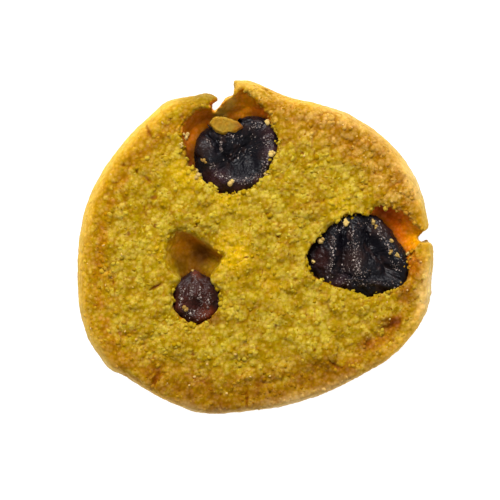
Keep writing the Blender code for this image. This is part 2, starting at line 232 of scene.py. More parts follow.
# The finest grain of the crumb is in the material, with its scales in lumps to the metre.
SPECK_SCALE = 3500
SPECK_TONE = (0.91, 1.09)
SPECK_BUMP = 0.04
FINE_GRAIN_SCALE = 1900
GRIT_TONE = 0.1
# Painted shade where the finest grains meet.
GRIT_EDGE_SHADE = 0.15
GRAIN_DOME = 0.12
# Where the tear is pulled wider and the flap higher: middle, reach and move.
PULLS = [
    ((-5.7, 19.1), 1.2, (-0.45, -0.1)), ((-5.1, 18.4), 1.0, (-0.25, -0.4)),
    ((-6.6, 20.3), 1.8, (0.0, 0.32)), ((-2.5, 22.1), 0.9, (-0.35, 0.3)),
    ((-3.5, 20.7), 0.9, (0.5, -0.1)), ((-9.2, 15.2), 2.2, (-0.45, 0.0)),
]
# Cracks: middle, length, width and turn in degrees.
CRACKS = [
    ((-13.4, -5.4), 2.2, 0.4, 28), ((-13.2, -17.5), 3.6, 0.7, 64),
    ((-1.1, -20.4), 2.1, 0.5, 90), ((10.6, -15.8), 1.6, 0.5, -36),
    ((18.6, -10.4), 3.0, 0.55, 28), ((15.2, -12.9), 1.3, 0.6, 60),
    ((-14.4, 9.1), 1.2, 0.4, -45), ((-14.2, 15.4), 2.0, 0.5, -64),
]
CRACK_DEPTH = 0.25
# Lumps that stand higher: middle, radius and height.
LUMPS = [
    ((-3.9, 0.4), 1.6, 0.4), ((-2.3, -2.5), 2.0, 0.4), ((-10.3, 10.0), 1.5, 0.3), ((-6.9, 7.0), 1.7, 0.3),
    ((-4.9, 5.2), 1.6, 0.25), ((0.8, 1.6), 1.8, 0.25), ((2.6, -0.6), 1.5, 0.2), ((10.4, 6.4), 1.8, 0.3),
]
# How wide the smooth skin of the rim is, by the angle round the biscuit in degrees.
SKIN_ANGLES = (0, 30, 75, 100, 150, 200, 225, 255, 315, 345, 360)
SKIN_WIDTHS = (1.0, 0.8, 0.8, 1.0, 1.3, 1.2, 0.6, 0.2, 0.8, 1.2, 1.1)


def srgb(red, green, blue):
    """A colour as it looks on screen, 0 to 255, in the linear values that Blender works in."""
    values = np.array([red, green, blue]) / 255
    return np.where(values <= 0.04045, values / 12.92, ((values + 0.055) / 1.055) ** 2.4)


MATRIX = srgb(165, 130, 0)  # what holds the grains together
GRAIN = srgb(193, 168, 52)  # flour and sugar grains, half see-through
BROWNED_MATRIX = srgb(168, 110, 0)
BROWNED_GRAIN = srgb(190, 142, 22)
PALE_KNOB = srgb(212, 166, 82)
DEEP_MATRIX = srgb(126, 80, 0)
DEEP_GRAIN = srgb(156, 112, 16)
# Painted shade in the creases between clumps and the fine cracks between pebbles.
VALLEY_SHADE = srgb(150, 88, 0)
# Painted shade in pits, opened creases and cracks.
PIT_SHADE = srgb(130, 66, 0)
SKIN = srgb(212, 168, 62)
SKIN_INNER = srgb(204, 150, 28)
SKIN_BELOW = srgb(216, 180, 112)
SIDE = srgb(178, 134, 60)
UNDERSIDE = srgb(184, 128, 42)
# Painted shade in the narrow gap between a raisin and the dough round it.
SEAT_SHADE = srgb(128, 80, 16)  # where a raisin sits in the dough
# Painted light: the yellow of crumb that faces the lamp.
LIT_YELLOW = (214, 172, 0)
# What tints a place on top: colour on screen, middle, reach and strength. The bright yellow patches are
# painted light on crumb that faces the lamp.
TOP_TONE_AND_LIGHT_PATCHES = [
    ((216, 172, 0), (-2.9, -0.9), 3.8, 0.9), ((196, 152, 0), (2.0, -5.1), 2.6, 0.6),
    (LIT_YELLOW, (-9.6, 9.8), 3.6, 0.5), ((150, 118, 14), (-6.6, 20.4), 4.0, 0.9),
    (LIT_YELLOW, (-3.6, 5.6), 3.2, 0.5), (LIT_YELLOW, (-12.4, -0.4), 3.0, 0.5),
    (LIT_YELLOW, (11.5, 5.5), 3.0, 0.45), ((176, 98, 10), (20.7, -2.4), 2.8, 1.0),
    ((116, 62, 4), (-5.8, -9.4), 2.0, 1.0), ((134, 78, 8), (20.2, -6.2), 2.2, 0.9),
    ((132, 66, 4), (18.4, -10.2), 2.0, 1.0), ((138, 72, 6), (15.0, -13.0), 1.9, 0.9),
    ((152, 100, 8), (12.0, 13.4), 3.4, 0.5),
]
# The same for the skin of the rim: the flap is paler and duller than the rest.
SKIN_PATCHES = [
    ((226, 176, 68), (20.0, -11.0), 8.0, 0.8), ((246, 208, 134), (23.4, -5.8), 5.0, 0.9),
    ((206, 162, 84), (14.0, 15.5), 11.0, 0.9), ((190, 150, 66), (0.0, 22.0), 10.0, 0.6),
    ((238, 200, 124), (21.5, 9.0), 5.0, 0.7), ((222, 168, 60), (-12.5, -20.0), 5.0, 0.8),
    ((214, 176, 104), (-1.0, -22.5), 10.0, 0.7), ((134, 104, 22), (-6.6, 20.4), 6.5, 1.0),
    ((186, 108, 14), (20.9, -2.0), 2.3, 0.9),
]
# The hollows' walls: colour, middle, reach, strength. Over the walls' own orange-brown, the dark patches are
# painted shade where the lamp doesn't reach the walls and the upper part of the press mark, and the brightest
# orange ones are painted light, a glow through the thin walls and in through the notches.
WALL = srgb(200, 110, 10)
WALL_TONE_AND_LIGHT_PATCHES = [
    ((196, 116, 18), (-3.0, 14.0), 9.5, 1.0), ((112, 54, 12), (-8.9, 11.6), 4.8, 1.0),
    ((230, 148, 10), (-1.4, 19.4), 3.4, 0.9), ((168, 80, 2), (0.6, 17.8), 2.4, 0.9),
    ((228, 112, 3), (16.5, 0.0), 8.5, 1.0), ((150, 54, 20), (17.4, 5.4), 2.6, 0.9),
    ((226, 152, 14), (22.0, 1.2), 3.0, 1.0), ((190, 128, 40), (19.5, -5.5), 3.4, 0.8),
    ((206, 166, 60), (-4.7, 18.0), 1.5, 0.9), ((190, 150, 50), (-5.0, 20.0), 1.4, 1.0),
    ((226, 176, 66), (-3.3, 19.5), 1.7, 0.9), ((160, 120, 4), (-8.2, -4.5), 7.5, 1.0),
    ((122, 78, 4), (-9.4, -1.6), 5.0, 1.0), ((184, 116, 4), (-9.8, 1.0), 2.8, 0.9),
    ((96, 64, 4), (-10.4, -3.0), 2.4, 0.8), ((94, 54, 10), (-7.3, -1.4), 2.4, 0.9),
    ((128, 94, 2), (-6.6, -3.2), 1.6, 0.8), ((150, 120, 4), (-5.4, -4.9), 2.4, 0.9),
    ((120, 92, 2), (-5.2, -2.3), 1.7, 0.9),
]


def smooth(value):
    """0 below 0, 1 above 1, and an easy curve between."""
    value = np.clip(value, 0, 1)
    return value * value * (3 - 2 * value)


def merged_copy(node):
    """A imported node's form with its loose triangles joined."""
    bm = bmesh.new()
    bm.from_mesh(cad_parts[node].data)
    bmesh.ops.remove_doubles(bm, verts=bm.verts, dist=1e-6)
    return bm


def read_mesh(mesh):
    """Points, in millimetres, and normals of a mesh."""
    points = np.empty(len(mesh.vertices) * 3)
    mesh.vertices.foreach_get("co", points)
    normals = np.empty(len(mesh.vertices) * 3)
    mesh.vertex_normals.foreach_get("vector", normals)
    return points.reshape(-1, 3) / MM, normals.reshape(-1, 3)


def write_points(mesh, points):
    """Moves a mesh's points to places in millimetres."""
    mesh.vertices.foreach_set("co", (points * MM).ravel())
    mesh.update()


def write_colour(mesh, name, colours):
    """Keeps a colour for each point of a mesh, for its material to read."""
    attribute = mesh.attributes.new(name, "FLOAT_COLOR", "POINT")
    filled = np.ones((len(colours), 4), np.float32)
    filled[:, :3] = colours
    attribute.data.foreach_set("color", filled.ravel())


def cloud(points, size, seed, octaves=1):
    """Soft noise from about -1 to 1 at each point, with lumps of a size; each use has its own seed."""
    shift = Vector((seed * 17.3, seed * -9.1, seed * 5.7))
    if octaves == 1:
        return np.array([noise.noise(Vector(p) / size + shift) for p in points.tolist()])
    return np.array([noise.fractal(Vector(p) / size + shift, 0.8, 2.0, octaves) for p in points.tolist()])


def spread(points, spacing, seed):
    """Picks points that keep a spacing from each other, in a seeded random order."""
    taken = {}
    picked = []
    for index in np.random.default_rng(seed).permutation(len(points)):
        x, y, z = points[index]
        cell = tuple(int(side // spacing) for side in (x, y, z))
        near = map(taken.get, product(*((step - 1, step, step + 1) for step in cell)))
        if all(p is None or (x - p[0]) ** 2 + (y - p[1]) ** 2 + (z - p[2]) ** 2 > spacing**2 for p in near):
            taken[cell] = (x, y, z)
            picked.append(index)
    return np.array(picked)


def nearest(points, centres, count):
    """For each point, the numbers of its nearest centres and their distances, nearest first."""
    tree = kdtree.KDTree(len(centres))
    for index, centre in enumerate(centres.tolist()):
        tree.insert(centre, index)
    tree.balance()
    found = [tree.find_n(p, count) for p in points.tolist()]
    numbers = np.array([[hit[1] for hit in hits] for hits in found])
    distances = np.array([[hit[2] for hit in hits] for hits in found])
    return numbers, distances


def from_above(points, middle):
    """How far each point is from a middle, seen from above."""
    return np.hypot(points[:, 0] - middle[0], points[:, 1] - middle[1])


def within(points, places):
    """How far inside the nearest of some round places each point is: 1 inside, 0 beyond its reach."""
    share = np.zeros(len(points))
    for middle, place_reach in places:
        share = np.maximum(share, 1 - smooth(from_above(points, middle) / place_reach * 2 - 1))
    return share


def pull(points, pulls):
    """Moves what lies round each middle sideways."""
    for middle, pull_reach, move in pulls:
        share = 1 - smooth(from_above(points, middle) / pull_reach)
        points[:, :2] += share[:, None] * move


def relax(bm, verts, times):
    """Draws points towards the middle of their neighbours."""
    axes = {"use_axis_x": True, "use_axis_y": True, "use_axis_z": True}
    for _ in range(times):
        bmesh.ops.smooth_vert(bm, verts=verts, factor=0.5, **axes)


def evened(reach, grown, eased):
    """The reach at each degree, grown to the farthest beside it and then averaged with its neighbours."""
    reach = np.max([np.roll(reach, shift) for shift in range(-grown, grown + 1)], axis=0)
    return np.mean([np.roll(reach, shift) for shift in range(-eased, eased + 1)], axis=0)


def apply_modifiers(piece):
    """Turns what a piece's modifiers make into its mesh."""
    seen = piece.evaluated_get(bpy.context.evaluated_depsgraph_get())
    mesh = bpy.data.meshes.new_from_object(seen)
    piece.modifiers.clear()
    piece.data = mesh
    return mesh


dough = add_object("baked_dough", finish_mesh(merged_copy("biscuit"), "baked_dough"))
remesh = dough.modifiers.new("even_mesh", "REMESH")
remesh.mode = "VOXEL"
remesh.voxel_size = VOXEL * MM
points, _ = read_mesh(apply_modifiers(dough))
softened = dough.vertex_groups.new(name="softened")
for index, amount in enumerate((1 - TORN_CRISPNESS * within(points, TORN_PLACES)).tolist()):
    softened.add([index], amount, "REPLACE")
soften = dough.modifiers.new("soften", "SMOOTH")
soften.vertex_group = "softened"
soften.iterations = SOFTENINGS
soften.factor = 0.5
settled = apply_modifiers(dough)
dough.vertex_groups.clear()

seated = bmesh.new()
seat_middles = {}
for name in BARE_EDGE:
    low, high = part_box(name)
    seat_middles[name] = (low + high) / 2
    raisin_mesh = finish_mesh(merged_copy(name), "seated")
    seated.from_mesh(raisin_mesh)
    bpy.data.meshes.remove(raisin_mesh)
seated_tree = BVHTree.FromBMesh(seated)
seated.free()

# The top and the hollows get four times the faces of the side, the underside and what raisins cover.
fine_bm = bmesh.new()
fine_bm.from_mesh(settled)
fine_bm.normal_update()
shown = []
for face in fine_bm.faces:
    middle = face.calc_center_median()
    covered = middle.z < UNSEEN_BELOW * MM and seated_tree.ray_cast(middle, UP)[0]
    if (face.normal.z > LOOKS_UP and not covered) or middle.z > TOP_FROM * MM:
        shown.append(face)
shown_edges = list({edge for face in shown for edge in face.edges})
bmesh.ops.subdivide_edges(fine_bm, edges=shown_edges, cuts=1, use_grid_fill=True)
fine_bm.to_mesh(settled)
fine_bm.free()

points, normals = read_mesh(settled)
raisin_gap = np.full(len(points), 2 * HUG[1])
for index, (spot, normal) in enumerate(zip(points.tolist(), normals.tolist())):
    start = Vector(spot) * MM
    touch, _, _, gap = seated_tree.find_nearest(start, HUG[1] * MM)
    if touch is not None:
        raisin_gap[index] = gap / MM
        step = touch - start
        if step.dot(Vector(normal)) > 0:
            step *= float(1 - smooth((gap / MM - HUG[0]) / (HUG[1] - HUG[0])))
            for share in (1, 0.9, 0.8, 0.7, 0.6, 0.5, 0.4, 0.3, 0.2, 0.1, 0):
                moved = start + step * share
                # No dough is drawn over a raisin's top.
                if seated_tree.ray_cast(moved, UP)[0] or not seated_tree.ray_cast(moved, -UP)[0]:
                    break
            points[index] = np.array(moved) / MM
# A raisin's outline lies bare: what hangs over it moves back.
for index, spot in enumerate(points.tolist()):
    moved = Vector(spot) * MM
    if seated_tree.ray_cast(moved, -UP)[0] and not seated_tree.ray_cast(moved, UP)[0]:
        seat = min(seat_middles, key=lambda name: (moved - seat_middles[name]).xy.length)
        away = moved - seat_middles[seat]
        away = Vector((away.x, away.y, 0)).normalized() * MM
        for _ in range(OVERHANG_STEPS):
            moved += away * OVERHANG_STEP
            if not seated_tree.ray_cast(moved, -UP)[0]:
                moved += away * BARE_EDGE[seat]
                break
        points[index] = np.array(moved) / MM
pull(points, PULLS)
write_points(settled, points)
seat_bm = bmesh.new()
seat_bm.from_mesh(settled)
round_raisins = [vertex for vertex, gap in zip(seat_bm.verts, raisin_gap) if gap < HUG[1]]
pressed_lip = within(points, [PRESSED_LIP]) * (points[:, 2] > 5)
round_mark = [vertex for vertex, share in zip(seat_bm.verts, pressed_lip) if share > 0.5]
relax(seat_bm, round_mark, PRESS_SOFTENINGS)
relax(seat_bm, round_raisins, SEAT_SOFTENINGS)
seat_bm.to_mesh(settled)
seat_bm.free()
points, normals = read_mesh(settled)
from_middle = from_above(points, (0, 0))
angle = np.degrees(np.arctan2(points[:, 1], points[:, 0])) % 360
reach = np.zeros(360)
np.maximum.at(reach, angle.astype(int) % 360, from_middle)
outline, outer = (
    np.interp(angle, np.arange(361), np.append(even, even[0]))
    for even in (evened(reach, 1, 2), evened(reach, 5, 4))
)


def facing_angle(middle, spread_degrees):
    """1 on the side of the biscuit that faces an angle, easing to 0 away from it."""
    turn = np.abs((angle - middle + 180) % 360 - 180)
    return smooth(1.5 - turn / spread_degrees)


# Along the near side the top reaches out to the edge.
near_side = facing_angle(*NEAR_SIDE)
near_edge = facing_angle(*NEAR_EDGE)
far_right = facing_angle(*FAR_RIGHT)
outermost = (points[:, 2] > EDGE_FROM) * smooth((points[:, 2] - EDGE_FROM) / 1.5)
outermost *= 1 - smooth((outer - from_middle - 0.8) / 2.4)
growth = EDGE_FULLNESS * near_edge * outermost * np.maximum(outline / from_middle - 1, 0)
points[:, :2] *= (1 + growth)[:, None]
write_points(settled, points)
points, normals = read_mesh(settled)
from_middle = from_above(points, (0, 0))
inset = outer - from_middle

# Where the dough is a hollow's wall, smooth skin, or crumb.
outward = (points[:, 0] * normals[:, 0] + points[:, 1] * normals[:, 1]) / np.maximum(from_middle, 1)
depth = RIM_HEIGHT + CROWN * smooth(inset / CROWN_REACH) - points[:, 2]
wall = smooth((depth - 0.5) / 0.7) * smooth((inset - 2.0) / 0.5)
wall = np.maximum(wall, smooth((depth - 0.6) / 0.6) * smooth((-outward - 0.1) / 0.3))
wall *= points[:, 2] > 0.8
torn = within(points, TORN_PLACES)
pressed = within(points, [PRESSED])
wall += (np.minimum(wall, smooth((depth - 0.1) / 2.6)) - wall) * pressed
mottle = cloud(points, 2.4, 21, 3)
skin_width = np.interp(angle, SKIN_ANGLES, SKIN_WIDTHS) + 0.5 * mottle
on_side = smooth((0.25 - normals[:, 2]) / 0.3)
skin = 1 - smooth((inset - skin_width + 0.8) / 2.2)
crumbly_side = np.maximum(0.9 * near_side, 0.55 * far_right) * smooth((points[:, 2] - 4.5) / 2)
skin = np.maximum(skin, on_side * (1 - crumbly_side)) * (1 - wall)
pale_edge = 0.85 * near_edge * (1 - smooth((inset - 0.2) / 0.9))
grainy_rim = 0.12 + 0.5 * facing_angle(*GRAINY_SIDE)
crumbly = (1 - skin * (1 - grainy_rim)) * (1 - wall)


def part(size, seed, warp, warp_size, warp_seeds):
    """Parts the crumb into lumps: each point's lump, how far it is from a crease, and how many there are."""
    centres = points[spread(points, size, seed)]
    warped = points + warp * np.stack([cloud(points, warp_size, seed) for seed in warp_seeds], 1)
    lump, distance = nearest(warped, centres, 2)
    return lump[:, 0], distance[:, 1] - distance[:, 0], len(centres)


# Clumps of crumb, with creases that have opened here and there.
clump, crease, clumps = part(CLUMP_SIZE, 3, 0.5, 1.3, (4, 5, 6))
random = np.random.default_rng(8)
clump_lift = random.uniform(-1, 1, clumps)[clump]
loosened = cloud(points, 3.0, 7)
parting = smooth((loosened + 0.25) / 0.6)
opened = smooth((loosened - 0.12) / 0.4) * (1 - smooth(crease / 0.3))
# Where painted shade darkens the creases between clumps.
valley = parting * (1 - smooth(crease / 0.5))
knobbly = far_right * smooth((7 - inset) / 3)
lift = CLUMP_HEIGHT * (1 + 0.8 * knobbly) * (smooth(crease / 0.9) - 0.6 + 0.5 * clump_lift)
lift += UNEVENNESS * cloud(points, 1.6, 10, 3) - CREVICE_DEPTH * opened
lump_edge = 0.3 * cloud(points, 1.1, 29, 2)
for middle, radius, height in LUMPS:
    away = from_above(points, middle) / radius
    lift += height * (1 - smooth(1.6 * (away + lump_edge) - 0.8))

# Pebbles: the clumps are made of smaller lumps, each set at its own height, with fine cracks between.
pebble, pebble_crease, pebbles = part(PEBBLE_SIZE, 31, 0.25, 0.8, (25, 26, 27))
pebble_lift, pebble_tone = np.random.default_rng(32).uniform(-1, 1, (2, pebbles))
# Where painted shade darkens the fine cracks between pebbles.
fine_crack_shade = (1 - smooth(pebble_crease / 0.28)) * smooth(0.6 + cloud(points, 1.6, 28))
lift += PEBBLE_HEIGHT * (smooth(pebble_crease / 0.45) - 0.7 + 0.6 * pebble_lift[pebble])

# Grains: a bed of rounded bits, each stretched its own way, with the paler ones standing higher.
grain_centres = points[spread(points, GRAIN_SPACING, 9)]
grain, _ = nearest(points, grain_centres, 5)
grain_radius = random.uniform(*GRAIN_RADIUS, len(grain_centres))
grain_stretch = random.uniform(0.75, 1.3, (len(grain_centres), 3))
grain_lift = random.uniform(-0.5, 0.5, len(grain_centres))
bed = np.full(len(points), -1.0)
topmost = np.zeros(len(points), int)
for number in grain.T:
    away = (points - grain_centres[number]) / grain_stretch[number]
    share = np.linalg.norm(away, axis=1) / grain_radius[number]
    dome = np.sqrt(np.clip(1 - share**2.4, 0, 1)) + 0.7 * grain_lift[number] - 0.25
    topmost = np.where(dome > bed, number, topmost)
    bed = np.maximum(bed, dome)
bed = np.clip(bed, -0.5, 1.2)
paleness = grain_lift + random.normal(0, 0.4, len(grain_centres))

# Pits, where a grain fell out, and the cracks of the bake.
pit_centres = points[spread(points, PIT_SPACING, 15)]
pit_number = nearest(points, pit_centres, 1)[0][:, 0]
pit_radius = random.uniform(*PIT_RADIUS, len(pit_centres))
pit_stretch = random.uniform(0.5, 2.1, (len(pit_centres), 3))
away = (points - pit_centres[pit_number]) / pit_stretch[pit_number]
pit = 1 - smooth(np.linalg.norm(away, axis=1) / pit_radius[pit_number] / 1.3 + 0.4 * cloud(points, 0.5, 16))
pit *= (random.random(len(pit_centres)) < PIT_SHARE)[pit_number]
crack = np.zeros(len(points))
ragged = 0.35 * cloud(points, 0.8, 18, 2)
for middle, length, width, degrees in CRACKS:
    turn = math.radians(degrees)
    step = points[:, :2] - middle
    along = (step[:, 0] * math.cos(turn) + step[:, 1] * math.sin(turn)) / (length / 2)
    across = (step[:, 1] * math.cos(turn) - step[:, 0] * math.sin(turn)) / (width / 2)
    crack = np.maximum(crack, 1 - smooth(np.hypot(along, across) * 0.9 - 0.35 + ragged))
crack *= points[:, 2] > 7.0

lift += GRAIN_HEIGHT * bed - PIT_DEPTH * pit
lift = crumbly * lift + 0.02 * cloud(points, 0.35, 11) - CRACK_DEPTH * crack * (1 - wall)
lift += skin * (0.06 * bed * smooth((normals[:, 2] + 0.1) / 0.5) + 0.06 * cloud(points, 1.4, 12, 3))
lift += wall * (0.10 * cloud(points, 1.2, 13, 3) + (0.04 + 0.05 * pressed) * bed)
lip = 4 * wall * (1 - wall) * (1 - torn) * (1 - pressed) * smooth((inset - 1.0) / 1.0)
lip *= smooth((raisin_gap - 0.6) / 0.6)
lift += LIP_RAGGEDNESS * lip * cloud(points, 0.7, 17, 2)
lift *= smooth((points[:, 2] + 0.2) / 0.6)
shaped = points + normals * lift[:, None]
shaped[:, 2] = np.maximum(shaped[:, 2], 0.0)
write_points(settled, shaped)
settled.shade_smooth()


def tint(colours, colour, weight):
    """Moves a colour, or one for each point, towards another by a weight from 0 to 1 at each point."""
    return colours + (colour - colours) * np.clip(weight, 0, 1)[:, None]


def patch(colours, patches, spots, share=1):
    """Tints the places that a list of patches names, by a share of each one's strength."""
    uneven = 0.25 * cloud(spots, 1.5, 22)
    for colour, middle, patch_reach, strength in patches:
        away = from_above(spots, middle) / patch_reach
        weight = strength * share * (1 - smooth(away * 1.15 - 0.15 + uneven))
        colours = tint(colours, srgb(*colour), weight)
    return colours


# Colours: a matrix and its grains, browner towards the rim and brownest along the near side.
browned = smooth((8.0 - inset) / 6.0) * (0.7 + 0.5 * mottle)
browned *= 0.55 + 0.45 * np.maximum(near_side, far_right)
groove = np.exp(-(((inset - 2.0 - skin_width) / 0.9) ** 2)) * (0.8 + 0.6 * mottle)
browned = np.maximum(browned, groove)
deep = browned * near_side
matrix_colour = tint(MATRIX, BROWNED_MATRIX, browned * 1.1)
matrix_colour = tint(matrix_colour, DEEP_MATRIX, deep)
grain_colour = tint(GRAIN, BROWNED_GRAIN, browned * 1.1)
grain_colour = tint(grain_colour, DEEP_GRAIN, deep)
grain_colour = tint(grain_colour, PALE_KNOB, 0.7 * knobbly)
skin_tone = tint(SKIN, SKIN_INNER, smooth((inset - 0.4 * skin_width) / (0.2 + skin_width)))
for colour, weight in (
    (SKIN_BELOW, near_side),
    (BROWNED_MATRIX, 0.3 * smooth(0.5 + mottle) * smooth((inset - 0.8) / 1.0)),
    (SIDE, smooth((0.3 - normals[:, 2]) / 0.5)),
    (UNDERSIDE, smooth((-normals[:, 2] - 0.3) / 0.5)),
):
    skin_tone = tint(skin_tone, colour, weight)
skin_tone = patch(skin_tone, SKIN_PATCHES, points, smooth((points[:, 2] - 3) / 3))
# The walls' own orange-brown, with painted shade and painted light from the patches.
wall_tone_and_light = patch(WALL, WALL_TONE_AND_LIGHT_PATCHES, points)
# Painted shade darkens the dough nearest a raisin, in the narrow gap round it.
wall_tone_and_light = tint(wall_tone_and_light, SEAT_SHADE, 0.85 * (1 - smooth((raisin_gap - 0.7) / 0.6)))
# Where painted shade darkens the pits, the opened creases and the cracks.
shaded_gaps = np.maximum(crumbly * np.maximum(0.8 * smooth(pit * 1.5), 0.4 * opened), 0.85 * crack)


def baked_tone(crumb, top_patch_share, lightness):
    """Crumb of a colour with painted shade in its creases, cracks and pits,
    with its patches, the skin of the rim and the hollows' walls over it.
    """
    # Painted shade darkens the creases between clumps and the fine cracks between pebbles.
    tone = tint(crumb, VALLEY_SHADE, np.maximum((0.35 + 0.3 * knobbly) * valley, 0.5 * fine_crack_shade))
    # The top's patches, with painted light on its lit yellow places.
    tone = patch(tone, TOP_TONE_AND_LIGHT_PATCHES, points, top_patch_share)
    skinned = np.max([skin, 0.75 * on_side, pale_edge], axis=0) * (1 - wall)
    tone = tint(tone, skin_tone * lightness, skinned)
    # Painted shade fills the pits, opened creases and cracks.
    tone = tint(tone, PIT_SHADE, shaded_gaps)
    return tint(tone, wall_tone_and_light * lightness, wall)


ground = baked_tone(matrix_colour, 1.0, 0.96)
bright = baked_tone(grain_colour, 0.75, 1.12)
shows_grain = 0.24 + 0.4 * bed + 0.5 * paleness[topmost] + 0.18 * pebble_tone[pebble]
shows_grain = smooth(shows_grain + 0.3 * cloud(points, 0.5, 23))
# The colour keeps the dough's own tones with the painted shade and light worked out above.
write_colour(settled, "baked_colour_with_painted_light", tint(ground, bright, shows_grain))
gritty = settled.attributes.new("grittiness", "FLOAT", "POINT")
gritty.data.foreach_set("value", np.maximum(crumbly, 0.5 * np.maximum(skin, wall)).astype(np.float32))

baked_look = {
    "Roughness": 0.55,
    "Specular IOR Level": 0.03,
    "Subsurface Weight": 0.8,
    "Subsurface Radius": (0.75, 0.6, 0.3),
    "Subsurface Scale": 0.28 * MM,
}
baked, tree, shader = new_material("baked_dough", baked_look)
baked_colour_with_painted_light = add_node(tree, "Attribute")
baked_colour_with_painted_light.attribute_name = "baked_colour_with_painted_light"
place = add_node(tree, "TexCoord").outputs["Object"]
speck = add_node(tree, "TexNoise", {"Scale": SPECK_SCALE, "Detail": 2, "Vector": place}).outputs["Fac"]
speck_tone = ranged(tree, speck, (0.3, 0.7), SPECK_TONE)
# The finest grains: each has a tone of its own, and painted shade darkens it where it meets the next.
grittiness = add_node(tree, "Attribute")
grittiness.attribute_name = "grittiness"
fine_grain = add_node(tree, "TexVoronoi", {"Scale": FINE_GRAIN_SCALE, "Vector": place})
grain_tone = ranged(tree, fine_grain.outputs["Color"], (0, 1), (-GRIT_TONE, GRIT_TONE))
grain_edge_shade = ranged(tree, fine_grain.outputs["Distance"], (0.25, 0.85), (GRIT_EDGE_SHADE, -GRIT_EDGE_SHADE))


def calculate(tree, operation, *inputs):
    """A sum or product of numbers and outputs."""
    step = add_node(tree, "Math")
    step.operation = operation
    wire(step, dict(enumerate(inputs)))
    return step.outputs["Value"]


both = calculate(tree, "ADD", grain_tone, grain_edge_shade)
grit = calculate(tree, "MULTIPLY", both, grittiness.outputs["Fac"])
purity = calculate(tree, "MULTIPLY_ADD", grit, -0.3, 1.0)
grain_shade = calculate(tree, "ADD", grit, speck_tone)
vary_by = {"Saturation": purity, "Color": baked_colour_with_painted_light.outputs["Color"], "Value": grain_shade}
vary = add_node(tree, "HueSaturation", vary_by)
grain_dome = calculate(tree, "MULTIPLY", fine_grain.outputs["Distance"], grittiness.outputs["Fac"])
domes = {"Strength": 0.5, "Distance": -GRAIN_DOME * MM, "Height": grain_dome}
grain_bump = add_node(tree, "Bump", domes).outputs["Normal"]
specks = {"Strength": 0.6, "Distance": SPECK_BUMP * MM, "Height": speck, "Normal": grain_bump}
bump = add_node(tree, "Bump", specks).outputs["Normal"]
wire(shader, {"Base Color": vary.outputs["Color"], "Normal": bump})

# The separate grains and crumbs are too small for light to spread inside them.
baked_grain = baked.copy()
baked_grain.name = "baked_grain"
wire(baked_grain.node_tree.nodes["Principled BSDF"], {"Subsurface Weight": 0})
settled.materials.clear()
settled.materials.append(baked)
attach(dough, "root")
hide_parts("biscuit")


# ---- crumbs that stand out
# Flour and sugar grains that the cut left standing on the crumb, and the ragged crumbs along the
# lips of the hollows. All are joined to the dough.

LOOSE_SPACING = 0.46
LOOSE_SHARE = 0.6
LOOSE_RADIUS = (0.15, 0.36)
LOOSE_SINK = (-0.9, -0.4)  # of a grain's middle, in its radii
LIP_SPACING = 0.8
LIP_SHARE = 0.75
LIP_CLUSTER = 4
LIP_CLUSTER_POINTS = 25  # of the surface round a place on the lip, where its crumbs sit
LIP_SMALLEST = 0.12
LIP_GROWTH = 0.28
BATCH = 200  # grains made at a time
GRAIN_STRETCHES = (0.6, 1.4)
GRAIN_DENTS = 0.22  # in radii
HEADROOM = 0.15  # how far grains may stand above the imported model's top
highest = cad_box[1][2] / MM + HEADROOM


def scatter(
    name, centres, radii, seed, material, colours=None, stretches=GRAIN_STRETCHES, attribute="baked_colour_with_painted_light"
):
    """One piece of many small grains, each stretched and tipped its own way, in colours of their own."""
    random = np.random.default_rng(seed)
    whole = bmesh.new()
    for start in range(0, len(centres), BATCH):
        batch = bmesh.new()
        for centre, radius in zip(centres[start : start + BATCH], radii[start : start + BATCH]):
            turn = Euler(random.uniform(0, 2 * math.pi, 3)).to_matrix().to_4x4()
            stretch = Matrix.Diagonal((*random.uniform(*stretches, 3), 1))
            set_down = Matrix.Translation(Vector(centre) * MM) @ turn @ stretch
            bmesh.ops.create_icosphere(batch, subdivisions=1, radius=radius * MM, matrix=set_down)
        batch_mesh = finish_mesh(batch, "batch")
        whole.from_mesh(batch_mesh)
        bpy.data.meshes.remove(batch_mesh)
    mesh = finish_mesh(whole, name)
    spots, outwards = read_mesh(mesh)
    corners = len(spots) // len(centres)
    dent = random.normal(0, GRAIN_DENTS, len(spots)) * np.repeat(radii, corners)
    write_points(mesh, spots + outwards * dent[:, None])
    mesh.shade_smooth()
    if colours is not None:
        write_colour(mesh, attribute, np.repeat(colours, corners, axis=0))
    mesh.materials.append(material)
    piece = add_object(name, mesh)
    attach(piece, "root")
    return piece


def crumb_tones(ground_tones, grain_tones, middle, deviation, most):
    """A colour for each crumb: somewhere between the ground's and the grains'."""
    share = np.clip(random.normal(middle, deviation, len(ground_tones)), 0, most)[:, None]
    return ground_tones + (grain_tones - ground_tones) * share


shaped, facing = read_mesh(settled)
random = np.random.default_rng(41)
grainy = np.maximum(crumbly**1.5, 0.6 * wall * pressed) * (pit < 0.2) * (crack < 0.1)
grainy *= smooth((facing[:, 2] - 0.3) / 0.3) * smooth(inset - 0.3)
rim_grain = (1 - wall) * smooth((facing[:, 2] - 0.1) / 0.3)
rim_grain *= smooth((4 - inset) / 2)
rim_grain *= smooth((inset - 0.5) / 0.3)
grainy = np.maximum(grainy, rim_grain * (0.35 + 0.65 * np.maximum(near_side, 0.6 * far_right)))
bare = np.flatnonzero(grainy > 0.05)
loose = bare[spread(shaped[bare], LOOSE_SPACING, 42)]
loose = loose[random.random(len(loose)) < LOOSE_SHARE * grainy[loose]]
loose_radii = random.uniform(*LOOSE_RADIUS, len(loose)) * (1 - 0.3 * pressed[loose])
sunk = loose_radii * random.uniform(*LOOSE_SINK, len(loose))
loose_centres = shaped[loose] + facing[loose] * sunk[:, None]
loose_centres[:, 2] = np.clip(loose_centres[:, 2], 1.5 * loose_radii, highest - 1.2 * loose_radii)
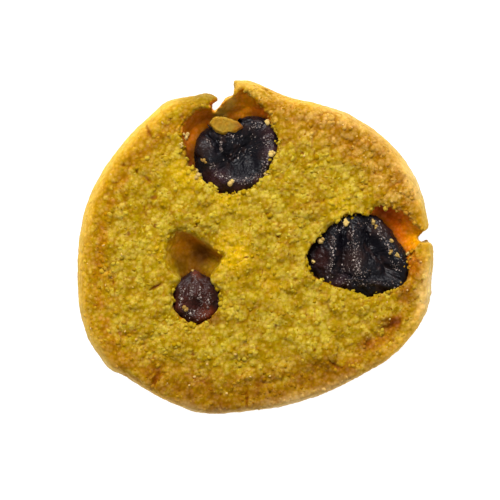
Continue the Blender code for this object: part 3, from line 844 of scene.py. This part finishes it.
loose_colours = crumb_tones(ground[loose], bright[loose], 0.45, 0.45, 1.3)
grains = scatter("crumb_grains", loose_centres, loose_radii, 43, baked_grain, loose_colours)

on_lip = (wall > 0.08) & (wall < 0.75) & (depth < 1.6) & (inset > 1.6) & (pressed < 0.5) & (torn < 0.4)
edge = np.flatnonzero(on_lip)
lip = edge[spread(shaped[edge], LIP_SPACING, 44)]
lip = lip[random.random(len(lip)) < LIP_SHARE]
lip = np.repeat(lip, random.integers(1, LIP_CLUSTER + 1, len(lip)))
round_lip, _ = nearest(shaped[lip], shaped, LIP_CLUSTER_POINTS)
lip = round_lip[np.arange(len(lip)), random.integers(0, LIP_CLUSTER_POINTS, len(lip))]
lip_radii = LIP_SMALLEST + LIP_GROWTH * random.random(len(lip)) ** 2
lip_centres = shaped[lip] + facing[lip] * (lip_radii * random.uniform(-0.4, 0.4, len(lip)))[:, None]
# The lip crumbs take the top's tones, with their painted light.
lip_ground = patch(matrix_colour[lip], TOP_TONE_AND_LIGHT_PATCHES, shaped[lip])
lip_colours = crumb_tones(lip_ground, grain_colour[lip], 0.5, 0.4, 1.2)
lips = scatter("lip_crumbs", lip_centres, lip_radii, 45, baked_grain, lip_colours)


# ---- the raisins
# Three dried grapes, pressed into the dough and baked until their skins went nearly black and
# glossy, each with its own deep folds and fine wrinkles.

RAISIN_BLACK = srgb(15, 13, 19)
RAISIN_BROWN = (52, 34, 30)
RAISIN_PURPLE = (58, 30, 34)
RAISIN_RED = (84, 34, 22)
CHIP_MIDDLE = (-3.95, 16.35, 8.0)
CHIP_SEAT = 1.2  # how far the raisin's skin is pressed down under the chip of dough
CHIP_SEAT_SIZE = (2.3, 1.0)
RAISINS = {
    # piece: faces of the skin, seed, run of the wrinkles in degrees,
    # where it is browner: colour, middle, reach, strength,
    # and its small folds: two ends, width and height
    "raisin_upper": (7, 31, 35, [
        (RAISIN_RED, (0.9, 8.4), 1.8, 0.7), (RAISIN_PURPLE, (-5.2, 8.6), 2.8, 0.8),
        (RAISIN_PURPLE, (-1.9, 7.6), 2.2, 0.8), (RAISIN_PURPLE, (2.2, 12.4), 2.2, 0.8),
        (RAISIN_PURPLE, (1.8, 15.2), 1.8, 0.6), (RAISIN_BROWN, (-6.8, 13.2), 1.7, 0.5),
    ], [
        ((-6.6, 14.6), (-5.5, 13.1), 0.16, 0.22), ((-4.6, 14.6), (-4.4, 13.1), 0.22, 0.4),
        ((-5.1, 14.4), (-5.0, 13.0), 0.18, -0.25), ((-6.4, 13.2), (-5.4, 11.6), 0.15, 0.15),
        ((-3.8, 11.2), (-3.0, 9.8), 0.25, 0.25), ((-0.6, 9.9), (0.6, 10.8), 0.25, 0.25),
        ((0.6, 12.0), (1.6, 14.4), 0.22, 0.25), ((-1.2, 15.0), (0.8, 15.4), 0.25, 0.2),
    ]),
    "raisin_right": (7, 32, 97, [
        ((50, 20, 16), (8.9, -1.8), 2.3, 0.8), (RAISIN_BROWN, (13.2, -1.8), 2.4, 0.8),
        (RAISIN_BROWN, (16.8, 2.6), 2.0, 0.7), (RAISIN_PURPLE, (11.0, -5.2), 2.4, 0.7),
    ], [
        ((10.9, 2.2), (10.3, -3.4), 0.2, 0.35), ((13.0, 1.4), (13.8, -3.4), 0.3, 0.3),
        ((12.2, -4.3), (18.8, -4.5), 0.2, 0.3), ((10.4, -3.6), (17.4, -5.2), 0.2, 0.25),
        ((16.6, 1.6), (19.3, -2.2), 0.25, 0.3), ((14.9, 1.8), (17.6, -2.8), 0.35, -0.4),
        ((11.7, 1.2), (11.9, -2.8), 0.25, -0.3),
    ]),
    "raisin_small": (6, 33, 60, [
        # The red patch at the small raisin's lower right edge is painted glow of light through the thin skin,
        # over its own red-brown.
        ((58, 24, 16), (-7.9, -7.0), 6.0, 1.0), ((112, 46, 22), (-6.0, -9.4), 2.2, 1.0),
        (RAISIN_RED, (-10.4, -7.6), 1.8, 0.6), ((110, 56, 40), (-8.0, -3.7), 1.0, 0.9),
    ], [
        ((-9.6, -5.8), (-9.8, -7.8), 0.2, 0.3), ((-8.6, -5.2), (-8.4, -7.0), 0.2, 0.3),
        ((-7.2, -5.2), (-7.3, -7.0), 0.2, 0.3), ((-6.2, -6.2), (-6.4, -8.0), 0.2, 0.3),
        ((-9.2, -8.6), (-8.2, -9.6), 0.2, 0.25),
    ]),
}
PLUMPNESS = 0.03
SIDE_PLUMPNESS = 0.2
SHOULDER_FULLNESS = 0.6  # how much of the way to its outline the upper side of a raisin bulges
SLOPES = [((8.0, -1.6), 3.4)]  # where it slopes down to its outline instead
# Where the small raisin is broader beside its stem end: middle, reach and move.
BROADER = [((-10.0, -5.0), 1.5, (-0.35, 0.15)), ((-5.8, -5.1), 1.7, (0.45, 0.25))]
FOLD_SIZE = 1.5
FOLD_HEIGHT = 0.12
WRINKLE_SIZE = 0.6
WRINKLE_RUN = 2.2  # how much longer a wrinkle is than it is wide
WRINKLE_HEIGHT = 0.1
PUCKER_SIZE = 0.42
PUCKER_HEIGHT = 0.1
CRINKLE_SCALE = 4200  # lumps to the metre, as is the next
DULL_SCALE = 500
DULLNESS = (0.28, 0.6)
CRINKLE_DEPTH = 0.14
SKIN_SOFTENINGS = 6
SATIN = [((-6.3, 12.6), 2.4), ((-1.9, 12.4), 2.2)]  # where the skin is less puckered
ABOVE = 30  # the height that a plumb line is dropped from
FLECK_SMALLEST = 0.03
FLECK_GROWTH = 0.07
FLECK_STRETCHES = (0.4, 2.0)
FLECK_SHARE = 1.4  # how much more than the counts below
# Painted glints: the pale colour of the brightest flecks.
FLECK_GLINT_COLOUR = srgb(206, 190, 180)
FLECK_DARK = srgb(90, 72, 66)
# Where pale flecks sit, partly dried syrup and sugar dust and partly painted glints on the ridges:
# two ends, reach and how many flecks.
FLECKS = [
    ((-4.5, 14.5), (-4.6, 12.8), 0.25, 34), ((-6.6, 14.6), (-5.5, 13.0), 0.15, 14),
    ((-5.9, 11.4), (-5.0, 9.8), 0.4, 26), ((-4.9, 9.7), (-1.9, 8.5), 0.5, 44),
    ((-1.9, 8.5), (0.9, 9.7), 0.5, 44), ((0.9, 9.7), (2.0, 12.5), 0.45, 44),
    ((2.0, 12.5), (1.5, 15.2), 0.5, 40), ((-1.1, 15.9), (1.1, 16.3), 0.4, 26),
    ((-3.6, 14.9), (0.6, 14.6), 0.5, 26), ((-4.0, 11.8), (1.0, 13.6), 1.0, 24),
    ((10.7, 2.2), (10.0, -4.0), 0.35, 80), ((12.9, 1.8), (13.4, -1.4), 0.6, 60),
    ((13.4, -1.4), (13.9, -3.9), 0.6, 50), ((16.4, 2.2), (19.4, -2.0), 0.5, 60),
    ((18.1, -1.9), (19.3, -3.3), 0.35, 26), ((10.6, -4.6), (19.0, -4.8), 0.5, 60),
    ((10.4, 2.6), (17.0, 2.8), 0.6, 60), ((11.6, -2.6), (15.6, -3.4), 0.7, 30),
    ((-9.8, -5.4), (-10.0, -8.0), 0.3, 44), ((-8.5, -4.8), (-8.6, -6.8), 0.25, 44),
    ((-7.5, -5.6), (-7.2, -7.6), 0.3, 40), ((-6.1, -5.8), (-6.3, -8.4), 0.4, 50),
    ((-9.4, -8.8), (-6.2, -9.2), 0.5, 60), ((-8.1, -3.7), (-8.0, -4.6), 0.25, 12),
]

raisin_look = {"Specular IOR Level": 0.08, "Coat Weight": 0.3, "Coat Roughness": 0.1}
raisin_skin, tree, shader = new_material("raisin_skin", raisin_look)
skin_colour_and_glints = add_node(tree, "Attribute")
skin_colour_and_glints.attribute_name = "skin_colour_and_glints"
place = add_node(tree, "TexCoord").outputs["Object"]
crinkle = add_node(tree, "TexNoise", {"Scale": CRINKLE_SCALE, "Detail": 2, "Vector": place}).outputs["Fac"]
dull = add_node(tree, "TexNoise", {"Scale": DULL_SCALE, "Vector": place}).outputs["Fac"]
dullness = ranged(tree, dull, (0.35, 0.65), DULLNESS)
crinkles = {"Strength": 1.0, "Distance": CRINKLE_DEPTH * MM, "Height": crinkle}
bump = add_node(tree, "Bump", crinkles).outputs["Normal"]
wire(shader, {"Base Color": skin_colour_and_glints.outputs["Color"], "Roughness": dullness})
wire(shader, {"Normal": bump, "Coat Normal": bump})

skins = []
for name, (divisions, seed, run, patches, folds) in RAISINS.items():
    form = merged_copy(name)
    form_tree = BVHTree.FromBMesh(form)
    low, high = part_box(name)
    middle = (low + high) / 2
    ball = bmesh.new()
    bmesh.ops.create_icosphere(ball, subdivisions=divisions, radius=1)
    for vertex in ball.verts:
        direction = vertex.co.normalized()
        vertex.co = form_tree.ray_cast(middle + direction * 0.05, -direction)[0]
    form.free()
    relax(ball, ball.verts, SKIN_SOFTENINGS)
    raisin_mesh = finish_mesh(ball, name + "_skin")
    spots, directions = read_mesh(raisin_mesh)
    if name == "raisin_small":
        pull(spots, BROADER)
    centre = np.array(middle) / MM
    plan = spots[:, :2] - centre[:2]
    away = from_above(plan, (0, 0))
    bearing = np.degrees(np.arctan2(plan[:, 1], plan[:, 0])).astype(int) % 360
    outline = np.zeros(360)
    np.maximum.at(outline, bearing, away)
    outline = evened(outline, 0, 3)[bearing]
    shoulder = smooth((away / outline - 0.7) / 0.25) * smooth((spots[:, 2] - centre[2] + 0.5) / 1.2)
    shoulder *= 1 - within(spots, SLOPES)
    fuller = 1 + SHOULDER_FULLNESS * shoulder * np.maximum(outline / np.maximum(away, 0.1) - 1, 0)
    spots[:, :2] = centre[:2] + plan * fuller[:, None]
    upward = smooth(directions[:, 2] / 0.5)
    warp = np.stack([cloud(spots, 2.2, seed + step) for step in (0, 10, 20)], 1)
    fold = 0.5 - 1.6 * np.abs(cloud(spots + 0.8 * warp, FOLD_SIZE, seed + 1))
    turn = Matrix.Rotation(math.radians(-run), 3, "Z")
    laid = (spots + 0.6 * warp) @ np.array(turn).T / (WRINKLE_RUN, 1, 1)
    wrinkle = 0.5 - 1.6 * np.abs(cloud(laid, WRINKLE_SIZE, seed + 2, 2))
    lift = PLUMPNESS + SIDE_PLUMPNESS * (1 - np.abs(directions[:, 2]))
    lift = lift + FOLD_HEIGHT * fold + WRINKLE_HEIGHT * wrinkle
    lift += PUCKER_HEIGHT * (1 - 0.6 * within(spots, SATIN)) * cloud(spots, PUCKER_SIZE, seed + 3, 2)
    spots = spots + directions * lift[:, None]
    wavy = 0.25 * cloud(spots, 0.9, seed + 5)
    for start, end, width, height in folds:
        along = np.array(end) - start
        step = spots[:, :2] - start
        share = np.clip(step @ along / (along @ along), 0, 1)
        distance = np.linalg.norm(step - share[:, None] * along, axis=1) + wavy
        spots[:, 2] += upward * height * np.exp(-((distance / width) ** 2))
    spots[:, 2] -= 0.5 * np.maximum(spots[:, 2] - high[2] / MM + 0.15, 0)
    if name == "raisin_upper":
        behind = np.maximum(spots[:, 1] - 15.9, 0) * (1 - smooth((np.abs(spots[:, 0] + 4.4) - 1.5) / 0.9))
        spots[:, 1] -= 0.85 * behind
        under = spots[:, :2] - (CHIP_MIDDLE[0], CHIP_MIDDLE[1] + 0.4)
        under = np.hypot(under[:, 0] / CHIP_SEAT_SIZE[0], under[:, 1] / CHIP_SEAT_SIZE[1])
        spots[:, 2] -= CHIP_SEAT * upward * (1 - smooth((under - 0.7) / 0.45))
    write_points(raisin_mesh, spots)
    raisin_mesh.shade_smooth()
    raisin_tone = patch(RAISIN_BLACK, patches, spots)
    mottled = 0.5 * smooth((cloud(spots, 1.2, seed + 4, 2) - 0.1) / 0.5)
    raisin_tone = tint(raisin_tone, srgb(*RAISIN_BROWN), mottled)
    write_colour(raisin_mesh, "skin_colour_and_glints", raisin_tone)
    raisin_mesh.materials.append(raisin_skin)
    raisin = add_object(name + "_skin", raisin_mesh)
    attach(raisin, "root")
    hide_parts(name)
    skins.append(raisin)


def trees_of(pieces):
    """What a plumb line can be dropped on."""
    graph = bpy.context.evaluated_depsgraph_get()
    return [BVHTree.FromObject(piece, graph) for piece in pieces]


def tops_at(trees, x, y):
    """The heights where a plumb line at a place of the plan meets surfaces, in millimetres."""
    hits = [tree.ray_cast(Vector((x * MM, y * MM, ABOVE * MM)), -UP)[0] for tree in trees]
    return [hit.z / MM for hit in hits if hit]


skin_trees = trees_of(skins)
random = np.random.default_rng(34)
fleck_centres = []
for start, end, fleck_reach, count in FLECKS:
    for _ in range(round(count * FLECK_SHARE)):
        spot = np.array(start) + (np.array(end) - start) * random.random()
        x, y = spot + random.normal(0, fleck_reach * 0.6, 2)
        tops = tops_at(skin_trees, x, y)
        if tops:
            fleck_centres.append((x, y, max(tops)))
fleck_centres = np.array(fleck_centres)
fleck_radii = FLECK_SMALLEST + FLECK_GROWTH * random.random(len(fleck_centres)) ** 2
# The flecks run from dim grey-brown to near white, the brightest as painted glints.
fleck_colours = tint(FLECK_DARK, FLECK_GLINT_COLOUR, random.random(len(fleck_centres)) ** 2)
flecks = scatter(
    "syrup_and_glint_flecks", fleck_centres, fleck_radii, 35, raisin_skin, fleck_colours, FLECK_STRETCHES, "skin_colour_and_glints"
)


# ---- stuck bits of dough
# A thin chip of dough that came off with the upper raisin, crumbs that cling to the raisins and the
# lips, and sugar crystals that melted clear on the browned rim.

# The chip's outline: distance from its middle by the angle in degrees.
CHIP_ANGLES = (-180, -174, -158, -127, -69, -29, -9, -3, 19, 58, 117, 154, 175, 180)
CHIP_REACHES = (2.2, 2.1, 1.7, 1.4, 1.15, 1.7, 2.5, 2.2, 1.45, 0.95, 1.1, 2.0, 2.25, 2.2)
CHIP_HALF_HEIGHT = 0.55
CHIP_COLOUR = srgb(164, 132, 44)
CHIP_RED = srgb(140, 84, 34)
CHIP_FLATNESS = 0.6
CHIP_SOFTENINGS = 3
# The larger stuck crumbs: middle, size and paleness.
STUCK_CRUMBS = [
    ((-6.93, 11.68), 0.34, 0.2), ((-3.18, 8.55), 0.4, 0.9), ((2.29, 12.57), 0.42, 1.0),
    ((1.74, 16.6), 0.42, 0.9), ((1.51, 9.72), 0.3, 0.8), ((-9.33, 14.91), 0.42, 0.8),
    ((-9.9, 13.79), 0.3, 0.8), ((-7.66, 9.88), 0.45, 0.6), ((12.32, 3.24), 0.36, 0.9),
    ((8.95, 0.82), 0.5, 0.5), ((15.91, 3.37), 0.3, 0.3), ((16.3, 2.75), 0.28, 0.3),
    ((18.28, 0.82), 0.36, 0.6), ((18.28, -0.54), 0.3, 0.2), ((18.94, -1.11), 0.3, 0.5),
    ((20.5, -0.98), 0.36, 1.0), ((7.82, -2.02), 0.26, 0.9), ((-9.21, -8.36), 0.4, 0.3),
    ((-8.37, -3.14), 0.18, 0.6),
]
CRUMB_BITS = 5
SEAT_SPACING = 0.6
SEAT_BITS = 3
SEAT_SMALLEST = 0.1
SEAT_GROWTH = 0.2
SEAT_CRUMB_REACH = 0.22
TIGHT_SEAT = (-7.7, -6.9)  # the small raisin's middle: the dough closes round it with few crumbs
TIGHT_SEAT_REACH = 5.0
DULL_CRUMB = srgb(146, 106, 46)
PALE_CRUMB = srgb(218, 188, 112)
CRYSTALS = [(-22.0, -10.9), (-17.4, -11.3), (-15.9, -12.4), (-8.1, -17.4), (-8.8, -18.5), (-14.0, -19.2)]
CRYSTAL_COUNT = 30
CRYSTAL_RADIUS = (0.08, 0.2)
CRYSTAL_STANDS = 0.08
CRYSTAL_COLOUR = srgb(238, 206, 140)
MELT_SCALE = 900  # lumps to the metre

chip_bm = bmesh.new()
bmesh.ops.create_icosphere(chip_bm, subdivisions=5, radius=1)
for vertex in chip_bm.verts:
    chip_angle = math.degrees(math.atan2(vertex.co.y, vertex.co.x))
    chip_reach = np.interp(chip_angle, CHIP_ANGLES, CHIP_REACHES)
    height = max(-CHIP_FLATNESS, min(CHIP_FLATNESS, vertex.co.z)) / CHIP_FLATNESS * CHIP_HALF_HEIGHT
    vertex.co = (vertex.co.x * chip_reach, vertex.co.y * chip_reach, height)
relax(chip_bm, chip_bm.verts, CHIP_SOFTENINGS)
bmesh.ops.translate(chip_bm, vec=CHIP_MIDDLE, verts=chip_bm.verts)
bmesh.ops.scale(chip_bm, vec=(MM, MM, MM), verts=chip_bm.verts)
chip_mesh = finish_mesh(chip_bm, "dough_chip")
spots, directions = read_mesh(chip_mesh)
lift = 0.16 * cloud(spots, 1.3, 51, 2) + 0.1 * cloud(spots, 0.45, 52, 2)
write_points(chip_mesh, spots + directions * lift[:, None])
chip_mesh.shade_smooth()
chip_tone = tint(CHIP_COLOUR, CHIP_RED, smooth((spots[:, 0] + 3.4) / 1.8))
chip_tone = tint(chip_tone, BROWNED_MATRIX, 0.5 * smooth(0.5 + cloud(spots, 0.9, 53, 2)))
write_colour(chip_mesh, "baked_colour_with_painted_light", chip_tone)
chip_mesh.materials.append(baked)
chip = add_object("dough_chip", chip_mesh)
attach(chip, "root")

surfaces = trees_of([*skins, dough, chip])
random = np.random.default_rng(54)
bits = []
bit_radii = []
bit_colours = []
for (x, y), size, pale in STUCK_CRUMBS:
    for _ in range(CRUMB_BITS):
        bit_x, bit_y = np.array((x, y)) + random.normal(0, size * 0.4, 2)
        stands = size * random.uniform(0.1, 0.6)
        bit_radii.append(size * random.uniform(0.45, 0.85))
        bit_z = min(max(tops_at(surfaces, bit_x, bit_y)) + stands, highest - 0.6 * bit_radii[-1])
        bits.append((bit_x, bit_y, bit_z))
        paler = np.clip(pale + random.normal(0, 0.15), 0, 1)
        bit_colours.append(DULL_CRUMB + (PALE_CRUMB - DULL_CRUMB) * paler)
stuck = scatter("stuck_crumbs", np.array(bits), np.array(bit_radii), 55, baked_grain, np.array(bit_colours))

# The ragged crumb where the dough closes round a raisin.
round_seats = (raisin_gap < 1.0) & (shaped[:, 2] > 7.3) & (facing[:, 2] > 0.1) & (pressed < 0.9)
seat_edge = np.flatnonzero(round_seats)
seat_edge = seat_edge[spread(shaped[seat_edge], SEAT_SPACING, 57)]
tight = from_above(shaped[seat_edge], TIGHT_SEAT) < TIGHT_SEAT_REACH
seat_edge = seat_edge[(random.random(len(seat_edge)) > 0.7) | ~tight]
seat_edge = np.repeat(seat_edge, random.integers(0, SEAT_BITS + 1, len(seat_edge)))
seat_radii = SEAT_SMALLEST + SEAT_GROWTH * random.random(len(seat_edge)) ** 1.5
seat_spots = shaped[seat_edge, :2] + random.normal(0, SEAT_CRUMB_REACH, (len(seat_edge), 2))
seat_crumbs = np.array([(x, y, max(tops_at(surfaces, x, y))) for x, y in seat_spots])
seat_crumbs[:, 2] -= 0.3 * seat_radii
# The seat crumbs take the top's tones, with their painted light.
seat_ground = patch(matrix_colour[seat_edge], TOP_TONE_AND_LIGHT_PATCHES, seat_crumbs)
seat_colours = crumb_tones(seat_ground, grain_colour[seat_edge], 0.5, 0.4, 1.2)
seated_crumbs = scatter("seat_crumbs", seat_crumbs, seat_radii, 58, baked_grain, seat_colours)

crystal_look = {
    "Roughness": 0.15,
    "Specular IOR Level": 0.6,
    "Subsurface Weight": 0.5,
    "Subsurface Radius": (1.0, 0.7, 0.4),
    "Subsurface Scale": 0.3 * MM,
}
crystal_material, tree, shader = new_material("sugar_crystal", crystal_look)
place = add_node(tree, "TexCoord").outputs["Object"]
melt = add_node(tree, "TexNoise", {"Scale": MELT_SCALE, "Vector": place}).outputs["Fac"]
melt_colour = add_node(tree, "Mix")
melt_colour.data_type = "RGBA"
wire(melt_colour, {"Factor": melt, "A": (*BROWNED_GRAIN, 1), "B": (*CRYSTAL_COLOUR, 1)})
wire(shader, {"Base Color": melt_colour.outputs["Result"]})

rim_crumb = (inset > 1.6) & (inset < 9) & (crumbly > 0.4) & (pit < 0.2) & (shaped[:, 2] > 7)
crystals = shaped[random.choice(np.flatnonzero(rim_crumb), CRYSTAL_COUNT, replace=False)]
named_crystals = [(x, y, max(tops_at(surfaces, x, y)) + CRYSTAL_STANDS) for x, y in CRYSTALS]
crystals = np.concatenate([crystals, named_crystals])
crystal_radii = random.uniform(*CRYSTAL_RADIUS, CRYSTAL_COUNT)
crystal_radii = np.append(crystal_radii, np.full(len(CRYSTALS), CRYSTAL_RADIUS[1]))
sugar = scatter("sugar_crystals", crystals, crystal_radii, 56, crystal_material)
